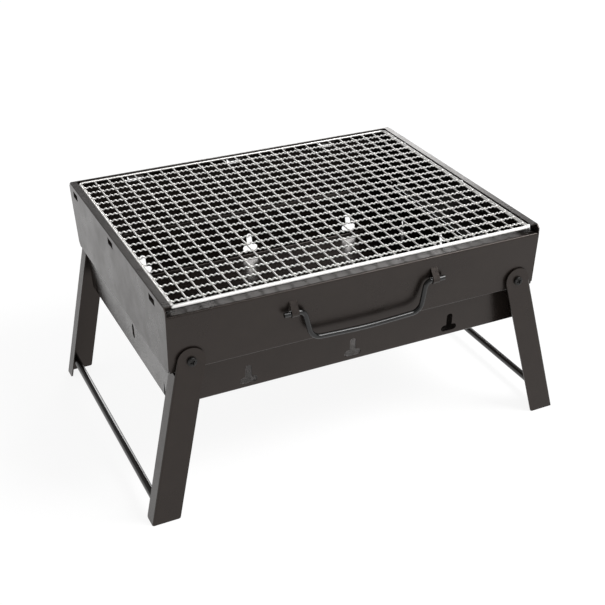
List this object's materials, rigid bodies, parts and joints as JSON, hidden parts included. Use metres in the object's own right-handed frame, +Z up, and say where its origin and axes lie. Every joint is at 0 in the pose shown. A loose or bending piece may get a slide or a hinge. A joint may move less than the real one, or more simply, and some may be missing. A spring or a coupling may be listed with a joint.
{
  "type": "folding camp grill",
  "caption": "Folding charcoal camp grill: sheet-steel box with wire cooking net, drop-down charcoal tray, folding leg frames and a bail handle.",
  "frame": {"origin": "on the ground under the middle of the grill, legs open", "axes": "+X along the long side, +Y to the back, +Z up"},
  "size_m": [0.409, 0.304, 0.204],
  "materials": {
    "satin_black_paint": "satin black heat-proof paint",
    "bright_wire": "bright plated wire",
    "blackened_screw": "blackened steel",
    "gloss_black_rod": "gloss black"
  },
  "bodies": {
    "frame": {"front_panel": "satin_black_paint", "rear_panel": "satin_black_paint", "left_panel": "satin_black_paint", "right_panel": "satin_black_paint", "pivot_screws": "blackened_screw", "pivot_nuts": "blackened_screw", "pivot_spacers": "blackened_screw"},
    "tray": {"charcoal_tray": "satin_black_paint"},
    "net": {"net_front_bar": "bright_wire", "net_edge_wire": "bright_wire", "net_cross_wires": "bright_wire", "net_long_wires": "bright_wire"},
    "left_legs": {"leg_front_left": "satin_black_paint", "leg_rear_left": "satin_black_paint", "cross_rod_left": "satin_black_paint"},
    "right_legs": {"leg_front_right": "satin_black_paint", "leg_rear_right": "satin_black_paint", "cross_rod_right": "satin_black_paint"},
    "front_bail": {"front_handle": "gloss_black_rod"}
  },
  "joints": [
    {"name": "left_leg_fold", "type": "hinge", "parent": "frame", "child": "left_legs", "pos_m": [-0.1563, 0, 0.1504], "axis": [0, -1, 0], "range_deg": [0, 98.5]},
    {"name": "right_leg_fold", "type": "hinge", "parent": "frame", "child": "right_legs", "pos_m": [0.1563, 0, 0.1504], "axis": [0, 1, 0], "range_deg": [0, 98.5]},
    {"name": "tray_rise", "type": "slide", "parent": "frame", "child": "tray", "axis": [0, 0, 1], "range_m": [0, 0.0375]},
    {"name": "net_lift", "type": "slide", "parent": "frame", "child": "net", "axis": [0, 0, 1], "range_m": [0, 0.08]},
    {"name": "front_handle_swing", "type": "hinge", "parent": "frame", "child": "front_bail", "pos_m": [0, -0.15066, 0.1742], "axis": [-1, 0, 0], "range_deg": [-2, 150]}
  ],
  "couplings": [
    {"joint": "right_leg_fold", "follows": "left_leg_fold", "ratio": 1},
    {"joint": "tray_rise", "follows": "left_leg_fold", "m_per_rad": 0.0217}
  ]
}
